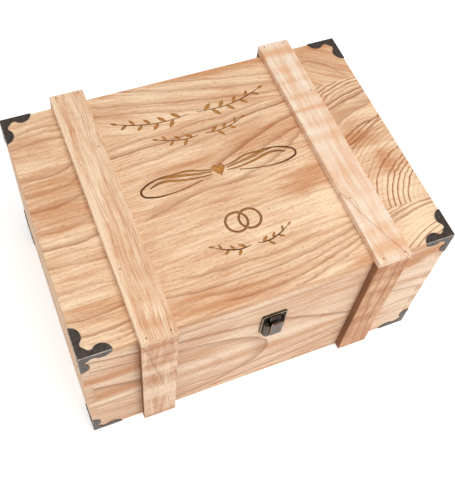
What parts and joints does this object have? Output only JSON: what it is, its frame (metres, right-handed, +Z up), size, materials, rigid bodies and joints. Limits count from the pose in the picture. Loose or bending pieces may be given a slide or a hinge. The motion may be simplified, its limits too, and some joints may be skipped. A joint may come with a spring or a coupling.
{
  "type": "hinged keepsake chest",
  "caption": "Wooden keepsake chest with a hinged lid, wooden straps round the case, scalloped metal corners, finger-jointed walls and a front lever latch.",
  "frame": {"origin": "under the middle of the chest, on the surface that it stands on", "axes": "+X along the front towards its right end, +Y from the front to the hinged back, +Z up"},
  "size_m": [0.3826, 0.2944, 0.2074],
  "materials": {
    "base_wood": "torched softwood, matt",
    "lid_wood": "torched softwood, matt",
    "strap_wood": "torched softwood, matt",
    "corner_metal": "dark antique lacquer, satin",
    "tack_metal": "dark antique lacquer",
    "nail_metal": "dull wire nail",
    "hinge_metal": "antique bronze, worn edges",
    "latch_metal": "antique bronze, worn edges"
  },
  "bodies": {
    "base": {"base_bottom_board": "base_wood", "base_front_wall": "base_wood", "base_back_wall": "base_wood", "base_left_wall": "base_wood", "base_right_wall": "base_wood", "base_front_left_strap": "strap_wood", "base_front_right_strap": "strap_wood", "base_back_left_strap": "strap_wood", "base_back_right_strap": "strap_wood", "bottom_corner_front_left": "corner_metal", "bottom_corner_front_right": "corner_metal", "bottom_corner_back_left": "corner_metal", "bottom_corner_back_right": "corner_metal", "bottom_corner_tacks": "tack_metal", "base_strap_nails": "nail_metal", "hinge_left_lower_leaf": "hinge_metal", "hinge_right_lower_leaf": "hinge_metal", "hinge_left_pin": "hinge_metal", "hinge_right_pin": "hinge_metal", "hinge_lower_screws": "hinge_metal", "latch_base": "latch_metal", "latch_base_nails": "latch_metal", "latch_pin": "latch_metal"},
    "lid": {"lid_top_board": "lid_wood", "lid_front_wall": "lid_wood", "lid_back_wall": "lid_wood", "lid_left_wall": "lid_wood", "lid_right_wall": "lid_wood", "lid_front_left_strap": "strap_wood", "lid_front_right_strap": "strap_wood", "lid_back_left_strap": "strap_wood", "lid_back_right_strap": "strap_wood", "lid_top_left_strap": "strap_wood", "lid_top_right_strap": "strap_wood", "top_corner_front_left": "corner_metal", "top_corner_front_right": "corner_metal", "top_corner_back_left": "corner_metal", "top_corner_back_right": "corner_metal", "top_corner_tacks": "tack_metal", "lid_strap_nails": "nail_metal", "hinge_left_upper_leaf": "hinge_metal", "hinge_right_upper_leaf": "hinge_metal", "hinge_upper_screws": "hinge_metal", "latch_keeper": "latch_metal", "latch_keeper_nails": "latch_metal"},
    "latch_lever": {"latch_lever": "latch_metal"}
  },
  "joints": [
    {"name": "lid_hinge", "type": "hinge", "parent": "base", "child": "lid", "pos_m": [0, 0.1413, 0.14045], "axis": [-1, 0, 0], "range_deg": [0, 100]},
    {"name": "latch_lever_hinge", "type": "hinge", "parent": "base", "child": "latch_lever", "pos_m": [0.0026, -0.1437, 0.1227], "axis": [1, 0, 0], "range_deg": [0, 120]}
  ]
}
